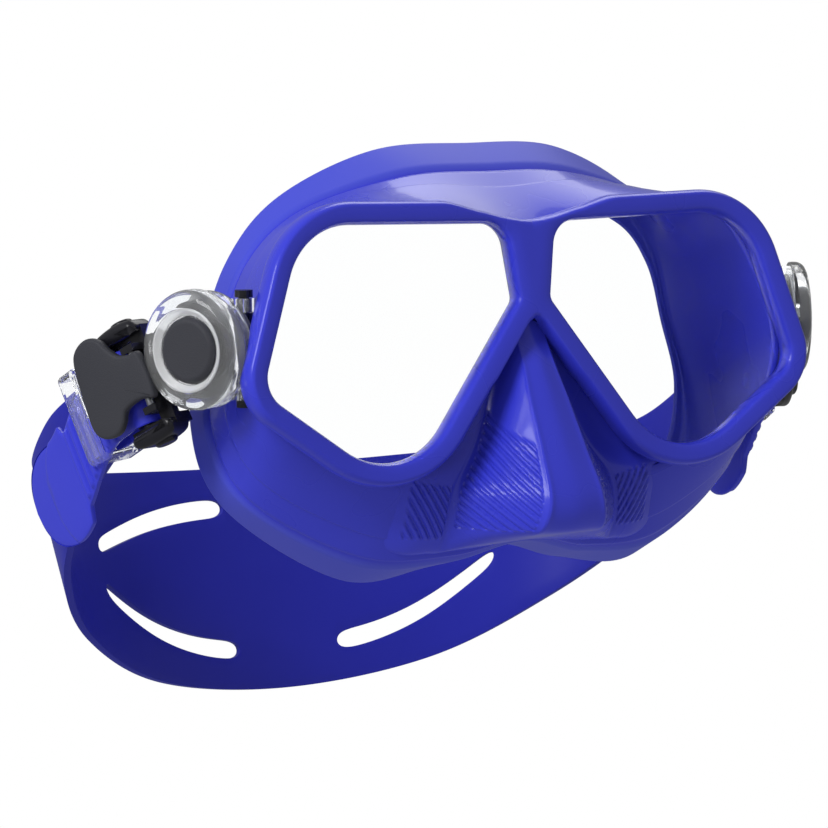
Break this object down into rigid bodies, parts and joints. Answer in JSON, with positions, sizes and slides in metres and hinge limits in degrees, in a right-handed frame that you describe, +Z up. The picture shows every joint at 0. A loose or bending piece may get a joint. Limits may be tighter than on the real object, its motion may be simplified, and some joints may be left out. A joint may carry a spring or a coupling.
{
  "type": "diving mask",
  "caption": "Twin-lens diving mask: silicone skirt with nose pocket, glass lenses, clear swivel hubs with release buckles and a split head strap.",
  "frame": {"origin": "centre of the face-seal opening, on the mirror plane, 36 mm behind the lens plane", "axes": "-Y is where the wearer looks, +Y goes into the face, +Z up, +X to the wearer's left"},
  "size_m": [0.193, 0.1605, 0.1437],
  "materials": {
    "silicone": "semi-gloss moulded silicone",
    "strap_silicone": "satin moulded silicone",
    "lens_glass": "clear tempered glass",
    "frame_steel": "brushed stainless",
    "clear_plastic": "clear moulded polycarbonate",
    "black_plastic": "gloss moulded plastic",
    "charcoal_plastic": "matte moulded plastic",
    "pin_steel": "turned stainless"
  },
  "bodies": {
    "mask": {"skirt": "silicone", "inner_frame": "frame_steel", "right_lens": "lens_glass", "left_lens": "lens_glass", "right_hinge_barrel": "black_plastic", "left_hinge_barrel": "black_plastic", "right_hinge_pin": "black_plastic", "left_hinge_pin": "black_plastic"},
    "right_hub": {"right_hub_base": "clear_plastic", "right_hub_cap": "clear_plastic", "right_pivot_screw": "pin_steel", "right_hub_button": "charcoal_plastic"},
    "right_buckle": {"right_buckle_frame": "black_plastic", "right_roller_axle": "pin_steel", "right_lever_pin": "pin_steel", "right_lever_spring": "pin_steel", "right_tab_springs": "pin_steel", "right_strap_end": "strap_silicone"},
    "right_lever": {"right_lever": "charcoal_plastic"},
    "right_roller": {"right_roller": "black_plastic"},
    "right_upper_tab": {"right_upper_tab": "black_plastic"},
    "right_lower_tab": {"right_lower_tab": "black_plastic"},
    "right_keeper": {"right_keeper": "clear_plastic"},
    "left_hub": {"left_hub_base": "clear_plastic", "left_hub_cap": "clear_plastic", "left_pivot_screw": "pin_steel", "left_hub_button": "charcoal_plastic"},
    "left_buckle": {"left_buckle_frame": "black_plastic", "left_roller_axle": "pin_steel", "left_lever_pin": "pin_steel", "left_lever_spring": "pin_steel", "left_tab_springs": "pin_steel", "left_strap_end": "strap_silicone"},
    "left_lever": {"left_lever": "charcoal_plastic"},
    "left_roller": {"left_roller": "black_plastic"},
    "left_upper_tab": {"left_upper_tab": "black_plastic"},
    "left_lower_tab": {"left_lower_tab": "black_plastic"},
    "left_keeper": {"left_keeper": "clear_plastic"},
    "strap": {"strap": "strap_silicone"}
  },
  "joints": [
    {"name": "right_hub_fold", "type": "hinge", "parent": "mask", "child": "right_hub", "pos_m": [-0.06854, -0.02891, 0.0058], "axis": [0, 0, 1], "range_deg": [-2, 4], "stiffness_Nm_per_rad": 0.3},
    {"name": "right_swivel", "type": "hinge", "parent": "right_hub", "child": "right_buckle", "pos_m": [-0.0785, -0.025, 0.0058], "axis": [-0.891, -0.454, 0], "range_deg": [-8, 8]},
    {"name": "right_lever_lift", "type": "hinge", "parent": "right_buckle", "child": "right_lever", "pos_m": [-0.08645, -0.01291, -0.00121], "axis": [-0.199, 0.3906, 0.8988], "range_deg": [0, 40], "stiffness_Nm_per_rad": 0.02, "springref_deg": -17.19},
    {"name": "right_roller_spin", "type": "hinge", "parent": "right_buckle", "child": "right_roller", "pos_m": [-0.08468, -0.00495, -0.00428], "axis": [0.199, -0.3906, -0.8988], "continuous": true},
    {"name": "right_upper_squeeze", "type": "slide", "parent": "right_buckle", "child": "right_upper_tab", "axis": [0.199, -0.3906, -0.8988], "range_m": [0, 0.001], "stiffness_N_per_m": 800, "springref_m": -0.0005},
    {"name": "right_lower_squeeze", "type": "slide", "parent": "right_buckle", "child": "right_lower_tab", "axis": [-0.199, 0.3906, 0.8988], "range_m": [0, 0.001], "stiffness_N_per_m": 800, "springref_m": -0.0005},
    {"name": "right_keeper_slide", "type": "slide", "parent": "right_buckle", "child": "right_keeper", "axis": [-0.1635, 0.891, -0.4234], "range_m": [-0.005, 0.0005]},
    {"name": "left_hub_fold", "type": "hinge", "parent": "mask", "child": "left_hub", "pos_m": [0.06854, -0.02891, 0.0058], "axis": [0, 0, -1], "range_deg": [-2, 4], "stiffness_Nm_per_rad": 0.3},
    {"name": "left_swivel", "type": "hinge", "parent": "left_hub", "child": "left_buckle", "pos_m": [0.0785, -0.025, 0.0058], "axis": [0.891, -0.454, 0], "range_deg": [-8, 8]},
    {"name": "left_lever_lift", "type": "hinge", "parent": "left_buckle", "child": "left_lever", "pos_m": [0.08645, -0.01291, -0.00121], "axis": [-0.199, -0.3906, -0.8988], "range_deg": [0, 40], "stiffness_Nm_per_rad": 0.02, "springref_deg": -17.19},
    {"name": "left_roller_spin", "type": "hinge", "parent": "left_buckle", "child": "left_roller", "pos_m": [0.08468, -0.00495, -0.00428], "axis": [-0.199, -0.3906, -0.8988], "continuous": true},
    {"name": "left_upper_squeeze", "type": "slide", "parent": "left_buckle", "child": "left_upper_tab", "axis": [-0.199, -0.3906, -0.8988], "range_m": [0, 0.001], "stiffness_N_per_m": 800, "springref_m": -0.0005},
    {"name": "left_lower_squeeze", "type": "slide", "parent": "left_buckle", "child": "left_lower_tab", "axis": [0.199, 0.3906, 0.8988], "range_m": [0, 0.001], "stiffness_N_per_m": 800, "springref_m": -0.0005},
    {"name": "left_keeper_slide", "type": "slide", "parent": "left_buckle", "child": "left_keeper", "axis": [0.1635, 0.891, -0.4234], "range_m": [-0.005, 0.0005]},
    {"name": "strap_tilt", "type": "hinge", "parent": "mask", "child": "strap", "pos_m": [0, -0.025, 0.0058], "axis": [1, 0, 0], "range_deg": [-8, 8], "stiffness_Nm_per_rad": 2}
  ],
  "couplings": [
    {"joint": "right_swivel", "follows": "strap_tilt", "ratio": -0.891},
    {"joint": "left_swivel", "follows": "strap_tilt", "ratio": 0.891}
  ]
}
